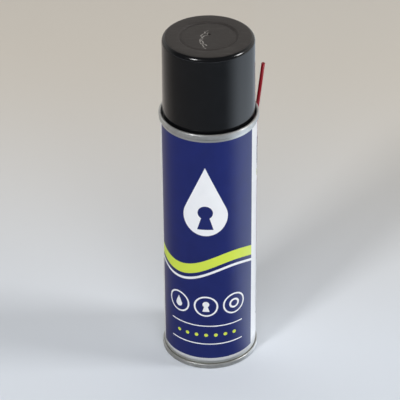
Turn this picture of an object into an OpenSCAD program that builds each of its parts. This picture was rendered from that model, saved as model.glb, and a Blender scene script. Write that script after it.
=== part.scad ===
// Aerosol spray can for a lock lubricant, with an overcap and a snorkel tube.
// Millimetres, +Z up. The origin is on the can's axis, in the plane that it stands on.
// The middle of the printed panel and the spray nozzle face -Y.

/* [Can body] */
// Outside diameter of the tinplate body
body_d = 52; // [48:0.5:60]
// Height of the can over both double seams
can_h = 155; // [130:1:190]
// Thickness of the body's tinplate
body_t = 0.22; // [0.18:0.01:0.26]

/* [Double seams] */
// Thickness of the tinplate of both ends
end_t = 0.33; // [0.28:0.01:0.38]
// Height of each double seam
seam_h = 3.1; // [2.8:0.1:3.6]
// Thickness of the sealing compound under the seam's arch
compound_t = 0.2; // [0.15:0.01:0.3]

/* [Top dome] */
// Depth of the countersink below the top of the seam
countersink = 4.4; // [4:0.1:5.2]
// Bend radius of the countersink at mid sheet
countersink_bend = 1.3; // [1.2:0.05:1.5]
// Slope of the dome where it leaves the countersink, in degrees
dome_foot_slope = 62; // [57:1:66]
// Slope of the dome where it meets the neck, in degrees
dome_neck_slope = 25; // [20:1:30]
// Diameter of the valve opening
opening_d = 25.4; // [24:0.1:28]
// Fillet between the dome and the neck at mid sheet
neck_fillet = 1; // [0.8:0.05:1.3]
// Straight height of the neck under the curl
neck_h = 1.2; // [1:0.1:2]
// Bend radius of the rolled curl at mid sheet
curl_bend = 1.3; // [1.1:0.05:1.5]

/* [Bottom end] */
// Height of the bottom's straight wall inside the seam
bottom_wall_h = 3.3; // [3:0.1:4.5]
// Bend radius between that wall and the concave panel at mid sheet
bottom_bend = 1.2; // [1:0.1:1.8]
// Slope of the concave panel at its edge, in degrees
bottom_slope = 26; // [18:1:32]
// Diameter of the flat at the middle of the panel
bottom_flat_d = 6; // [3:0.5:14]

/* [Printed label] */
// Thickness of the printed skin
label_t = 0.08; // [0.05:0.01:0.2]
// Bare metal left between the skin and each seam
label_margin = 0.5; // [0.3:0.1:3]

/* [Valve cup] */
// Thickness of the cup's tinplate
cup_t = 0.28; // [0.24:0.01:0.34]
// Thickness of the gasket on top of the curl
cup_gasket_t = 0.35; // [0.25:0.05:0.6]
// How far the cup's wall is swaged out under the neck
cup_swage = 0.6; // [0.4:0.05:0.75]
// Height of the swaged ring
cup_swage_h = 2.4; // [2:0.1:3]
// Bend radius between the cup's wall and its floor at mid sheet
cup_corner = 1; // [0.8:0.1:1.6]
// How far the channel's outer lip hangs below the middle of the curl
cup_lip = 0.6; // [0.3:0.1:1]
// Height of the pedestal above the top of the cup's channel
pedestal_rise = 1.5; // [1:0.1:3]
// Bend radius at the top of the pedestal at mid sheet
pedestal_bend = 0.7; // [0.5:0.05:0.9]
// Bend radius at the foot of the pedestal at mid sheet
pedestal_foot = 0.9; // [0.7:0.1:1.4]
// Depth of the clinch that traps the housing in the pedestal
pedestal_clinch = 0.45; // [0.3:0.05:0.6]
// Height of that clinch
pedestal_clinch_h = 2; // [1.6:0.1:2.4]

/* [Valve] */
// Outside diameter of the stem
stem_d = 4; // [3.6:0.1:4.6]
// Bore of the stem
stem_bore_d = 1.8; // [1.4:0.1:2.2]
// How far the stem stands out of the pedestal
stem_out = 7.5; // [7:0.1:10]
// Width of the stem's sealing shoulder
stem_shoulder_w = 1.1; // [0.8:0.1:1.6]
// Height of that shoulder
stem_shoulder_h = 1.2; // [1:0.1:1.8]
// Diameter of the post inside the spring
stem_post_d = 2.8; // [2.4:0.1:3.2]
// Length of that post
stem_post_l = 4; // [3:0.1:5]
// Diameter of the hole in the stem's side
stem_hole_d = 0.6; // [0.4:0.05:0.8]
// Thickness of the stem's rubber washer
stem_gasket_t = 1; // [0.8:0.1:1.4]
// How far the stem travels when the button is pressed
press_travel = 1.6; // [1:0.1:2]
// Length of the housing under the washer
housing_l = 13; // [11.5:0.1:16]
// Wall of the housing
housing_wall = 1; // [0.8:0.1:1.3]
// Height of the housing's clinched flange
housing_flange_h = 2.5; // [2:0.1:3]
// Thickness of the housing's floor
housing_floor = 1.5; // [1:0.1:2]
// Outside diameter of the housing's tail
tail_d = 3.2; // [2.8:0.1:4]
// Length of the tail
tail_l = 7; // [5:0.1:10]
// Bore of the tail
tail_bore_d = 1.8; // [1.2:0.1:2.2]
// Wire of the valve spring
spring_wire = 0.5; // [0.4:0.05:0.6]
// Turns of the valve spring
spring_turns = 6; // [4:1:7]
// Wall of the dip tube
dip_wall = 0.75; // [0.5:0.05:1]
// Height of the dip tube's end above the can's bottom
dip_foot = 1.6; // [1:0.1:4]

/* [Spray button] */
// Diameter of the button at its foot
button_d = 13.6; // [12:0.1:18]
// Diameter of the button at its crown
button_crown_d = 12.4; // [11.6:0.1:17]
// Height of the crown above the middle of the nozzle
button_crown = 5.2; // [4.6:0.1:8]
// Rounding of the crown's edge
button_edge = 1; // [0.6:0.1:1.4]
// Radius of the finger hollow
finger_r = 11; // [9:0.5:16]
// Depth of the finger hollow
finger_depth = 1.5; // [0.8:0.1:2]
// How deep the flat in front of the nozzle is cut
nozzle_flat = 1; // [0.6:0.1:1.6]
// Height of the nozzle above the top of the stem
nozzle_rise = 2.8; // [2.6:0.1:5]
// Bore of the channel between the stem and the nozzle
channel_d = 1.6; // [1.2:0.1:2]
// Length of the nozzle insert
insert_l = 4; // [3.6:0.1:5]
// Wall of the nozzle insert round the snorkel's socket
insert_wall = 0.9; // [0.7:0.1:1.2]
// Depth of the snorkel's socket
socket_depth = 2.8; // [2:0.1:3.2]
// Diameter of the spray hole
spray_hole_d = 0.6; // [0.4:0.1:0.8]

/* [Overcap] */
// Height of the cap above the top seam
cap_h = 45; // [40:0.5:60]
// Gap between the cap's wall and the inside of the seam
cap_rim_gap = 0.5; // [0.3:0.1:1]
// Draft of the cap's wall from its lip to its top edge
cap_draft = 0.33; // [0:0.01:1]
// Rounding of the cap's top edge
cap_edge = 2.7; // [1.5:0.1:3.5]
// Wall of the cap
cap_wall = 1.2; // [0.9:0.05:1.6]
// Thickness of the cap's top
cap_top_t = 1.3; // [1:0.1:2]
// Height of the cap's lip above the seam
cap_reveal = 1.5; // [1:0.1:3]
// Step in from the cap's wall to the plug that sits in the seam
cap_step = 0.5; // [0.3:0.05:0.7]
// Wall of that plug
cap_plug_t = 1; // [0.8:0.05:1.2]
// Diameter of the shallow disc on the cap's top
cap_disc_d = 31; // [20:0.5:38]
// Depth of that disc
cap_disc_depth = 0.4; // [0.2:0.05:0.8]
// Diameter of the gate mark at its middle
cap_gate_d = 1.4; // [0.8:0.1:2.5]

/* [Snorkel and tape] */
// Outside diameter of the snorkel
snorkel_d = 2; // [1.6:0.05:2.4]
// Bore of the snorkel
snorkel_bore_d = 1.2; // [0.8:0.05:1.4]
// Whole length of the snorkel
snorkel_l = 127; // [90:1:140]
// Length of the leaning end that stands clear of the seam
snorkel_rise = 25.5; // [15:0.5:40]
// Lean of that end, in degrees
snorkel_lean = 7.2; // [4:0.1:10]
// Place of the snorkel round the can, in degrees from +X
snorkel_angle = 25.5; // [0:0.5:90]
// Width of the tape
tape_w = 19; // [10:0.5:30]
// Length of the tape round the can
tape_l = 30; // [26:0.5:60]
// Thickness of the tape
tape_t = 0.1; // [0.06:0.01:0.2]
// Height from the tape's upper edge to the start of the snorkel's bend
tape_drop = 2; // [0:0.5:10]

/* [Clearances] */
// Between the folded layers of a seam
seam_gap = 0.04; // [0.03:0.005:0.05]
// Between the printed skin and the body
label_gap = 0.02; // [0.01:0.01:0.05]
// Between the valve cup and the neck
cup_clear = 0.06; // [0.05:0.01:0.1]
// On each side of a gasket
seal_gap = 0.03; // [0.02:0.01:0.04]
// Round the sliding and turning stem
stem_clear = 0.05; // [0.03:0.01:0.1]
// Round pieces that are pressed together
fit_clear = 0.02; // [0.01:0.01:0.04]
// Round the stem's shoulder in the housing
shoulder_clear = 0.3; // [0.2:0.05:0.5]
// Between the housing and the clinch
clinch_clear = 0.35; // [0.25:0.05:0.6]
// Between the spring's ends and their seats
spring_clear = 0.05; // [0.03:0.01:0.1]
// Under the pressed button
button_clear = 0.7; // [0.4:0.1:1.5]
// Between the cap's plug and the dome under it
cap_seat_clear = 0.2; // [0.1:0.05:0.3]
// Between the cap's bead and the seam
cap_bead_clear = 0.12; // [0.08:0.01:0.2]
// Between the snorkel and what it lies on
snorkel_clear = 0.1; // [0.06:0.01:0.2]
// Between the tape and what it covers
tape_clear = 0.08; // [0.05:0.01:0.15]

/* [Hidden] */
$fn = 96;

// One overrun for every cut
over = 1;

// Steps of a half turn in a tight fold, odd so that its crown is flat, and of a wider half turn
fold_steps = 9;
bend_steps = 18;
// Steps of the long arcs of the dome and the concave bottom, and of a swaged ring
dome_steps = 14;
ring_steps = 8;
// Steps of the snorkel's bend, and its sides
lean_steps = 6;
snorkel_sides = 16;

// Radii through the double seam, from the inside out, at mid sheet
body_r = body_d / 2;
body_mid_r = body_r - body_t / 2;
chuck_mid_r = body_r - body_t - seam_gap - end_t / 2;
chuck_in_r = chuck_mid_r - end_t / 2;
end_hook_r = body_r + seam_gap + end_t / 2;
body_hook_r = end_hook_r + end_t / 2 + seam_gap + body_t / 2;
seam_wall_r = body_hook_r + body_t / 2 + seam_gap + end_t / 2;
seam_r = seam_wall_r + end_t / 2;

// Bends of the seam, and their depths below the seam's crown
crown_flat_share = cos(90 / fold_steps);
arch_bend = (seam_wall_r - chuck_mid_r) / 2;
arch_mid_r = (seam_wall_r + chuck_mid_r) / 2;
arch_depth = arch_bend * crown_flat_share + end_t / 2;
hook_bend = (body_hook_r - body_mid_r) / 2;
hook_mid_r = (body_hook_r + body_mid_r) / 2;
hook_depth = end_t + compound_t + 2 * seam_gap + body_t / 2 + hook_bend;
fold_bend = (seam_wall_r - end_hook_r) / 2;
fold_mid_r = (seam_wall_r + end_hook_r) / 2;
fold_depth = seam_h - end_t / 2 - fold_bend * crown_flat_share;

// Countersink, dome, neck and curl of the top
sink_mid_r = chuck_mid_r - countersink_bend;
sink_mid_z = can_h - countersink + countersink_bend - end_t / 2;
dome_foot_r = sink_mid_r - countersink_bend * sin(dome_foot_slope);
dome_foot_z = sink_mid_z - countersink_bend * cos(dome_foot_slope);
neck_mid_r = opening_d / 2 + end_t / 2;
fillet_mid_r = neck_mid_r + neck_fillet;
dome_end_r = fillet_mid_r - neck_fillet * sin(dome_neck_slope);
dome_r = (dome_foot_r - dome_end_r) / (sin(dome_foot_slope) - sin(dome_neck_slope));
dome_mid_r = dome_foot_r - dome_r * sin(dome_foot_slope);
dome_mid_z = dome_foot_z - dome_r * cos(dome_foot_slope);
fillet_mid_z = dome_mid_z + dome_r * cos(dome_neck_slope) + neck_fillet * cos(dome_neck_slope);
curl_mid_r = neck_mid_r + curl_bend;
curl_mid_z = fillet_mid_z + neck_h;
curl_turn = 270;

// Concave bottom
bottom_edge_r = chuck_mid_r - bottom_bend + bottom_bend * sin(bottom_slope);
bottom_edge_z = bottom_wall_h + bottom_bend * cos(bottom_slope);
bottom_dome_r = (bottom_edge_r - bottom_flat_d / 2) / sin(bottom_slope);
bottom_mid_z = bottom_edge_z - bottom_dome_r * cos(bottom_slope);
bottom_top_z = bottom_mid_z + bottom_dome_r + end_t / 2;

// Printed skin
label_in_r = body_r + label_gap;
label_r = label_in_r + label_t;
label_low = seam_h + label_margin;
label_high = can_h - seam_h - label_margin;

// Valve cup
cup_wall_r = opening_d / 2 - cup_clear - cup_t / 2;
channel_bend = curl_mid_r - cup_wall_r;
channel_z = curl_mid_z + cup_gasket_t;
cup_top_z = channel_z + channel_bend + cup_t / 2;
swage_z = fillet_mid_z - neck_fillet - cup_swage_h / 2;
cup_floor_z = swage_z - cup_swage_h / 2 - cup_corner;
pedestal_top_z = cup_top_z + pedestal_rise;
pedestal_mid_z = pedestal_top_z - cup_t / 2;

// Stem, washer, housing and spring
stem_r = stem_d / 2;
stem_path_r = stem_r + stem_clear;
shoulder_r = stem_r + stem_shoulder_w;
housing_bore_r = shoulder_r + shoulder_clear;
barrel_r = housing_bore_r + housing_wall;
pedestal_in_r = barrel_r + clinch_clear + pedestal_clinch;
pedestal_mid_r = pedestal_in_r + cup_t / 2;
washer_top_z = pedestal_top_z - cup_t;
washer_z = washer_top_z - stem_gasket_t;
stem_top_z = pedestal_top_z + stem_out;
stem_hole_z = washer_z + stem_gasket_t / 2;
shoulder_z = washer_z - stem_shoulder_h;
flange_z = washer_z - housing_flange_h;
clinch_z = flange_z - pedestal_clinch_h / 2;
housing_z = washer_z - housing_l;
housing_floor_z = housing_z + housing_floor;
spring_r = (stem_post_d / 2 + housing_bore_r) / 2;
spring_low = housing_floor_z + spring_clear + spring_wire / 2;
spring_high = shoulder_z - spring_clear - spring_wire / 2;
spring_pitch = (spring_high - spring_low) / spring_turns;
curl_rings = 8;
wire_sides = 6;

// Spray button and nozzle
button_z = pedestal_top_z + press_travel + button_clear;
nozzle_z = stem_top_z + nozzle_rise;
button_top_z = nozzle_z + button_crown;
nozzle_front = button_d / 2 - nozzle_flat;
insert_d = snorkel_d + 2 * insert_wall;

// Overcap
cap_top_z = can_h + cap_h;
cap_lip_z = can_h + cap_reveal;
cap_lip_r = chuck_in_r - cap_rim_gap;
cap_top_r = cap_lip_r - cap_draft;
cap_plug_r = cap_lip_r - cap_step;
cap_in_r = cap_plug_r - cap_plug_t;
cap_ceiling_z = cap_top_z - cap_disc_depth - cap_top_t;
cap_ceiling_r = cap_top_r - cap_wall;
cap_plug_z = dome_surface_z(cap_in_r) + cap_seat_clear;
cap_plug_lead = cap_plug_t / 4;
cap_bead_r = chuck_in_r - cap_bead_clear - cap_plug_r;
cap_bead_z = cap_plug_z + cap_plug_lead + cap_bead_r;
cap_gate_depth = cap_top_t / 5;

// Snorkel and tape
snorkel_r = snorkel_d / 2;
snorkel_low_r = label_r + snorkel_clear + snorkel_r;
snorkel_rim_r = seam_r + snorkel_clear + snorkel_r;
snorkel_bend = (snorkel_rim_r - snorkel_low_r) / (1 - cos(snorkel_lean));
snorkel_bend_z = can_h - seam_h - snorkel_bend * sin(snorkel_lean);
snorkel_straight = snorkel_l - snorkel_rise - snorkel_bend * snorkel_lean * PI / 180;
tape_can_r = label_r + tape_clear;
tape_hump_r = snorkel_r + tape_clear;
tape_slope = acos((tape_can_r - tape_hump_r) / snorkel_low_r);
tape_reach = tape_l / 2 / tape_can_r * 180 / PI;
tape_top_z = snorkel_bend_z - tape_drop;

// Points on an arc about c, from angle a to angle b
function arc(c, r, a, b, steps) =
    [for (i = [0:steps]) let (t = a + (b - a) * i / steps) c + r * [cos(t), sin(t)]];

// A vertical wall at radius r with a smooth ring pressed into it, from the bottom up
function pressed_ring(r, z, h, depth) =
    [for (i = [0:ring_steps]) let (t = i / ring_steps)
        [r + depth * (1 - cos(360 * t)) / 2, z + h * (t - 0.5)]];

function reversed(path) = [for (i = [len(path) - 1:-1:0]) path[i]];

// Outline of a sheet of thickness t that follows a path at mid sheet
function left_of(a, b) = let (d = (b - a) / norm(b - a)) [-d[1], d[0]];
function miter(path, i) =
    let (last = len(path) - 1)
    let (n = left_of(path[max(i - 1, 0)], path[max(i, 1)]))
    let (m = left_of(path[min(i, last - 1)], path[min(i + 1, last)]))
    (n + m) / (1 + n * m);
function sheet(path, t) = concat(
    [for (i = [0:len(path) - 1]) path[i] + t / 2 * miter(path, i)],
    [for (i = [len(path) - 1:-1:0]) path[i] - t / 2 * miter(path, i)]);

// Mid-sheet path of an end through its seam, as radius and depth below the crown
seam_path = concat(
    [[end_hook_r, hook_depth + seam_gap]],
    arc([fold_mid_r, fold_depth], fold_bend, 180, 0, fold_steps),
    arc([arch_mid_r, arch_depth], arch_bend, 0, -180, fold_steps));
body_hook_path = concat(
    arc([hook_mid_r, hook_depth], hook_bend, -180, 0, fold_steps),
    [[body_hook_r, fold_depth - seam_gap]]);

function from_top(path) = [for (p = path) [p[0], can_h - p[1]]];

// Height of the dome's outer surface at radius r, in the countersink or on the dome
function dome_surface_z(r) = r > dome_foot_r
    ? sink_mid_z - sqrt(pow(countersink_bend - end_t / 2, 2) - pow(r - sink_mid_r, 2))
    : dome_mid_z + sqrt(pow(dome_r + end_t / 2, 2) - pow(r - dome_mid_r, 2));

module turned_sheet(path, t) {
    rotate_extrude() polygon(sheet(path, t));
}

// A crescent-shaped sealing ring between a lower and an upper round surface
module crescent_ring(r, upper_z, upper_r, lower_z, lower_r) {
    rotate_extrude() difference() {
        translate([r, upper_z]) circle(r = upper_r);
        translate([r, lower_z]) circle(r = lower_r);
    }
}

module ring(outer_r, inner_r, low, high) {
    difference() {
        translate([0, 0, low]) cylinder(r = outer_r, h = high - low);
        translate([0, 0, low - over]) cylinder(r = inner_r, h = high - low + 2 * over);
    }
}

// Tinplate cylinder with a hook turned out and back at each end
module can_body() {
    color("#c9ccd0") turned_sheet(concat(reversed(body_hook_path), from_top(body_hook_path)), body_t);
}

// Printed skin round the body
module printed_label() {
    color("#1d2a63") ring(label_r, label_in_r, label_low, label_high);
}

// Pressed dome, from its seam through the countersink to the rolled curl
module top_dome() {
    sink = arc([sink_mid_r, sink_mid_z], countersink_bend, 0, -90 - dome_foot_slope, bend_steps);
    dome = arc([dome_mid_r, dome_mid_z], dome_r, 90 - dome_foot_slope, 90 - dome_neck_slope, dome_steps);
    fillet = arc([fillet_mid_r, fillet_mid_z], neck_fillet, 270 - dome_neck_slope, 180, ring_steps);
    curl = arc([curl_mid_r, curl_mid_z], curl_bend, 180, 180 - curl_turn, bend_steps);
    dome_rest = [for (i = [1:len(dome) - 1]) dome[i]];
    fillet_rest = [for (i = [1:len(fillet) - 1]) fillet[i]];
    color("#c4c7cb") turned_sheet(concat(from_top(seam_path), sink, dome_rest, fillet_rest, curl), end_t);
}

// Pressed bottom, from its seam up the inner wall to the concave panel
module bottom_end() {
    bend = arc([chuck_mid_r - bottom_bend, bottom_wall_h], bottom_bend, 0, 90 - bottom_slope, ring_steps);
    panel = arc([bottom_flat_d / 2, bottom_mid_z], bottom_dome_r, 90 - bottom_slope, 90, dome_steps);
    panel_rest = [for (i = [1:len(panel) - 1]) panel[i]];
    centre = [0, bottom_mid_z + bottom_dome_r];
    color("#c4c7cb") turned_sheet(concat(seam_path, bend, panel_rest, [centre]), end_t);
}

// Sealing compound under the crown of a seam
module top_seam_compound() {
    color("#8f948a") translate([0, 0, can_h]) mirror([0, 0, 1]) seam_compound();
}

module bottom_seam_compound() {
    color("#8f948a") seam_compound();
}

module seam_compound() {
    crown_r = arch_bend - end_t / 2 - seam_gap;
    hook_r = hook_bend + body_t / 2 + seam_gap;
    crescent_ring(arch_mid_r, arch_depth, crown_r, hook_depth, hook_r);
}

// Valve cup: pedestal, floor, swaged wall and the channel over the dome's curl
module mounting_cup() {
    crown = arc([pedestal_mid_r - pedestal_bend, pedestal_mid_z - pedestal_bend],
        pedestal_bend, 90, 0, ring_steps);
    clinch = reversed(pressed_ring(pedestal_mid_r, clinch_z, pedestal_clinch_h, -pedestal_clinch));
    foot = arc([pedestal_mid_r + pedestal_foot, cup_floor_z + pedestal_foot],
        pedestal_foot, 180, 270, ring_steps);
    corner = arc([cup_wall_r - cup_corner, cup_floor_z + cup_corner], cup_corner, -90, 0, ring_steps);
    swage = pressed_ring(cup_wall_r, swage_z, cup_swage_h, cup_swage);
    swage_rest = [for (i = [1:len(swage) - 1]) swage[i]];
    channel = arc([curl_mid_r, channel_z], channel_bend, 180, 0, bend_steps);
    lip = [curl_mid_r + channel_bend, curl_mid_z - cup_lip];
    hole = [stem_path_r + stem_clear, pedestal_mid_z];
    color("#d6d2c4") turned_sheet(
        concat([hole], crown, clinch, foot, corner, swage_rest, channel, [lip]), cup_t);
}

// Gasket on top of the curl, under the cup's channel
module cup_gasket() {
    channel_in_r = channel_bend - cup_t / 2 - seal_gap;
    curl_out_r = curl_bend + end_t / 2 + seal_gap;
    color("#3a3d40") crescent_ring(curl_mid_r, channel_z, channel_in_r, curl_mid_z, curl_out_r);
}

// Housing under the washer: clinched flange, barrel, floor and tail
module valve_housing() {
    tail_r = tail_d / 2;
    tail_bore_r = tail_bore_d / 2;
    flange_r = pedestal_in_r - fit_clear;
    color("#f1efe8") rotate_extrude() polygon([
        [tail_bore_r, housing_z - tail_l], [tail_r, housing_z - tail_l], [tail_r, housing_z],
        [barrel_r, housing_z], [barrel_r, flange_z], [flange_r, flange_z], [flange_r, washer_z],
        [housing_bore_r, washer_z], [housing_bore_r, housing_floor_z], [tail_bore_r, housing_floor_z]
    ]);
}

// Rubber washer that closes the stem's side hole
module stem_gasket() {
    washer_r = pedestal_in_r - pedestal_bend + cup_t / 2;
    color("#26282a") ring(washer_r, stem_path_r, washer_z, washer_top_z);
}

// Hollow stem with its sealing shoulder, side hole and spring post
module valve_stem() {
    post_r = stem_post_d / 2;
    color("#f1efe8") difference() {
        rotate_extrude() polygon([
            [0, shoulder_z - stem_post_l], [post_r, shoulder_z - stem_post_l], [post_r, shoulder_z],
            [shoulder_r, shoulder_z], [shoulder_r, washer_z], [stem_r, washer_z],
            [stem_r, stem_top_z], [0, stem_top_z]
        ]);
        translate([0, 0, stem_hole_z - stem_hole_d]) cylinder(d = stem_bore_d, h = stem_top_z);
        translate([0, 0, stem_hole_z]) rotate([90, 0, 0]) cylinder(d = stem_hole_d, h = stem_d);
    }
}

// Spring between the housing's floor and the stem's shoulder, as one unbroken tube
function coil_point(i) = let (a = 360 * i / curl_rings)
    [spring_r * cos(a), spring_r * sin(a), spring_low + spring_pitch * i / curl_rings];
function wire_ring(i) =
    let (a = 360 * i / curl_rings)
    let (out = [cos(a), sin(a), 0])
    let (run = [-sin(a) * spring_r * 2 * PI, cos(a) * spring_r * 2 * PI, spring_pitch])
    let (up = cross(out, run) / norm(run))
    [for (k = [0:wire_sides - 1]) let (b = 360 * k / wire_sides)
        coil_point(i) + spring_wire / 2 * (cos(b) * out + sin(b) * up)];

coil_rings = spring_turns * curl_rings;
coil_gap = min([for (i = [0:coil_rings - curl_rings], j = [i + curl_rings / 2:coil_rings])
    norm(coil_point(j) - coil_point(i))]) - spring_wire;
echo(least_gap_between_coils = coil_gap);

module valve_spring() {
    points = [for (i = [0:coil_rings], p = wire_ring(i)) p];
    last = coil_rings * wire_sides;
    walls = [for (i = [0:coil_rings - 1], k = [0:wire_sides - 1])
        let (a = i * wire_sides + k)
        let (b = i * wire_sides + (k + 1) % wire_sides)
        each [[a, b, b + wire_sides], [a, b + wire_sides, a + wire_sides]]];
    first_cap = [for (k = [1:wire_sides - 2]) [0, k + 1, k]];
    last_cap = [for (k = [1:wire_sides - 2]) [last, last + k, last + k + 1]];
    color("#b9bdc3") polyhedron(points, concat(walls, first_cap, last_cap));
}

// Tube from the housing's tail to just above the can's bottom
module dip_tube() {
    bore_r = tail_d / 2 + fit_clear;
    color("#ecebe0") ring(bore_r + dip_wall, bore_r, bottom_top_z + dip_foot, housing_z);
}

// Button pressed onto the stem, with a finger hollow, a nozzle flat and its channels
module spray_button() {
    crown_r = button_crown_d / 2;
    pocket_r = insert_d / 2 + fit_clear;
    color("#f3f3f0") difference() {
        rotate_extrude() polygon(concat(
            [[0, button_z], [button_d / 2, button_z]],
            arc([crown_r - button_edge, button_top_z - button_edge], button_edge, 0, 90, ring_steps),
            [[0, button_top_z]]));
        translate([-button_d, 0, button_top_z - finger_depth + finger_r])
            rotate([0, 90, 0]) cylinder(r = finger_r, h = 2 * button_d);
        translate([-button_d, -button_d - nozzle_front, button_z - over])
            cube([2 * button_d, button_d, button_top_z - button_z + 2 * over]);
        translate([0, 0, button_z - over])
            cylinder(r = stem_path_r, h = stem_top_z + stem_clear - button_z + over);
        translate([0, 0, stem_top_z]) cylinder(d = channel_d, h = nozzle_rise);
        translate([0, 0, nozzle_z]) sphere(d = channel_d);
        translate([0, 0, nozzle_z]) rotate([90, 0, 0]) cylinder(d = channel_d, h = nozzle_front);
        translate([0, insert_l - nozzle_front, nozzle_z]) rotate([90, 0, 0])
            cylinder(r = pocket_r, h = insert_l + over);
    }
}

// Insert in the button's front: the snorkel's socket, then the spray hole
module nozzle_insert() {
    color("#e4e4e0") translate([0, -nozzle_front, nozzle_z]) rotate([-90, 0, 0]) difference() {
        cylinder(d = insert_d, h = insert_l);
        translate([0, 0, -over]) cylinder(d = snorkel_d, h = socket_depth + over);
        cylinder(d = spray_hole_d, h = insert_l + over);
    }
}

// Moulded cap: shallow disc, round top edge, drafted wall, and a beaded plug inside the seam
module overcap() {
    disc_z = cap_top_z - cap_disc_depth;
    gate_r = cap_gate_d / 2;
    disc_r = cap_disc_d / 2;
    color("#1d1e21") rotate_extrude() polygon(concat(
        [[0, disc_z - cap_gate_depth], [gate_r, disc_z - cap_gate_depth], [gate_r, disc_z]],
        [[disc_r, disc_z], [disc_r + cap_disc_depth, cap_top_z]],
        arc([cap_top_r - cap_edge, cap_top_z - cap_edge], cap_edge, 90, 0, bend_steps),
        [[cap_lip_r, cap_lip_z], [cap_plug_r, cap_lip_z]],
        arc([cap_plug_r, cap_bead_z], cap_bead_r, 90, -90, fold_steps),
        [[cap_plug_r, cap_plug_z + cap_plug_lead], [cap_plug_r - cap_plug_lead, cap_plug_z]],
        [[cap_in_r, cap_plug_z], [cap_in_r, cap_lip_z]],
        arc([cap_ceiling_r - cap_edge + cap_wall, cap_ceiling_z - cap_edge + cap_wall],
            cap_edge - cap_wall, 0, 90, ring_steps),
        [[0, cap_ceiling_z]]));
}

// Stations along the snorkel, as radius, height and lean: straight, a bend that clears the seam, straight
snorkel_stations = concat(
    [[snorkel_low_r, snorkel_bend_z - snorkel_straight, 0]],
    [for (i = [0:lean_steps]) let (t = snorkel_lean * i / lean_steps)
        [snorkel_low_r + snorkel_bend * (1 - cos(t)), snorkel_bend_z + snorkel_bend * sin(t), t]],
    [[snorkel_rim_r + snorkel_rise * sin(snorkel_lean),
        can_h - seam_h + snorkel_rise * cos(snorkel_lean), snorkel_lean]]);
function snorkel_ring(station, r) =
    [for (k = [0:snorkel_sides - 1]) let (b = 360 * k / snorkel_sides)
        [station[0] + r * cos(b) * cos(station[2]), -r * sin(b),
            station[1] - r * cos(b) * sin(station[2])]];

// Tube along the can that bends out to clear the seam, then leans away
module snorkel() {
    sides = snorkel_sides;
    count = len(snorkel_stations);
    rings = count * sides;
    points = concat(
        [for (s = snorkel_stations, p = snorkel_ring(s, snorkel_r)) p],
        [for (s = snorkel_stations, p = snorkel_ring(s, snorkel_bore_d / 2)) p]);
    walls = [for (i = [0:count - 2], k = [0:sides - 1])
        let (a = i * sides + k)
        let (b = i * sides + (k + 1) % sides)
        each [[a, b, b + sides], [a, b + sides, a + sides],
            [rings + b, rings + a, rings + b + sides], [rings + b + sides, rings + a, rings + a + sides]]];
    far = rings - sides;
    ends = [for (k = [0:sides - 1])
        let (next = (k + 1) % sides)
        each [[next, k, rings + k], [next, rings + k, rings + next],
            [far + k, far + next, rings + far + next], [far + k, rings + far + next, rings + far + k]]];
    color("#b3122a") rotate([0, 0, snorkel_angle]) polyhedron(points, concat(walls, ends));
}

// Clear tape laid over the snorkel and down onto the can on both sides
module snorkel_tape() {
    color("#dfe6ea") rotate([0, 0, snorkel_angle]) translate([0, 0, tape_top_z - tape_w])
        linear_extrude(tape_w) polygon(concat(tape_side(0), reversed(tape_side(tape_t))));
}

function tape_side(lift) = concat(
    arc([0, 0], tape_can_r + lift, -tape_reach, -tape_slope, ring_steps),
    arc([snorkel_low_r, 0], tape_hump_r + lift, -tape_slope, tape_slope, ring_steps),
    arc([0, 0], tape_can_r + lift, tape_slope, tape_reach, ring_steps));

can_body();
printed_label();
top_dome();
bottom_end();
top_seam_compound();
bottom_seam_compound();
mounting_cup();
cup_gasket();
valve_housing();
stem_gasket();
valve_stem();
valve_spring();
dip_tube();
spray_button();
nozzle_insert();
overcap();
snorkel();
snorkel_tape();
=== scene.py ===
# Looks of a slim lubricant spray can: a three-piece tinplate can with a printed skin, a crimped
# valve with its spray button, a black plug-in overcap, and a red snorkel tube taped along its back.
# Sizes are in millimetres, and a finished piece is in metres.
import math

import bmesh
import bpy
from mathutils import Matrix, Vector


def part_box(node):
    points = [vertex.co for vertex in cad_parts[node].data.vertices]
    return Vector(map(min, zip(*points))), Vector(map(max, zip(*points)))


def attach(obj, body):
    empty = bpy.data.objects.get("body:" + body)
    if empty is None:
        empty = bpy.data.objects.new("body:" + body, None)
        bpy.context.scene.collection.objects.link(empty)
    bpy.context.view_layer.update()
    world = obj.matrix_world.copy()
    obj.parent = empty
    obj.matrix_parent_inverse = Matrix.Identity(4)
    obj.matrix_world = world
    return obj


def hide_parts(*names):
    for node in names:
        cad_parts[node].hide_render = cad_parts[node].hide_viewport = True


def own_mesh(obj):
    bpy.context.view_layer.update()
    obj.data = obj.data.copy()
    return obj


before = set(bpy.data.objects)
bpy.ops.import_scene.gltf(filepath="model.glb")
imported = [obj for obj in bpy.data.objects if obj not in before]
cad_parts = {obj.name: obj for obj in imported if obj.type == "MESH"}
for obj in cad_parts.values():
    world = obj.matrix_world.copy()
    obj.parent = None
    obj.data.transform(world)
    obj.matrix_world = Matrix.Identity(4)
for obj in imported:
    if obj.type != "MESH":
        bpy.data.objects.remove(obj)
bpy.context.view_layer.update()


# Can body
# A sheet of tinplate rolled into a tube and welded down its side, with both ends turned out into
# hooks for the seams. Only the strips between the print and the seams show its bright tin.
MM = 0.001
ROUND_STEPS = 144


def box_mm(node):
    """Lowest and highest corner of a CAD node, in millimetres."""
    low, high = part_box(node)
    return low / MM, high / MM


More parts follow.
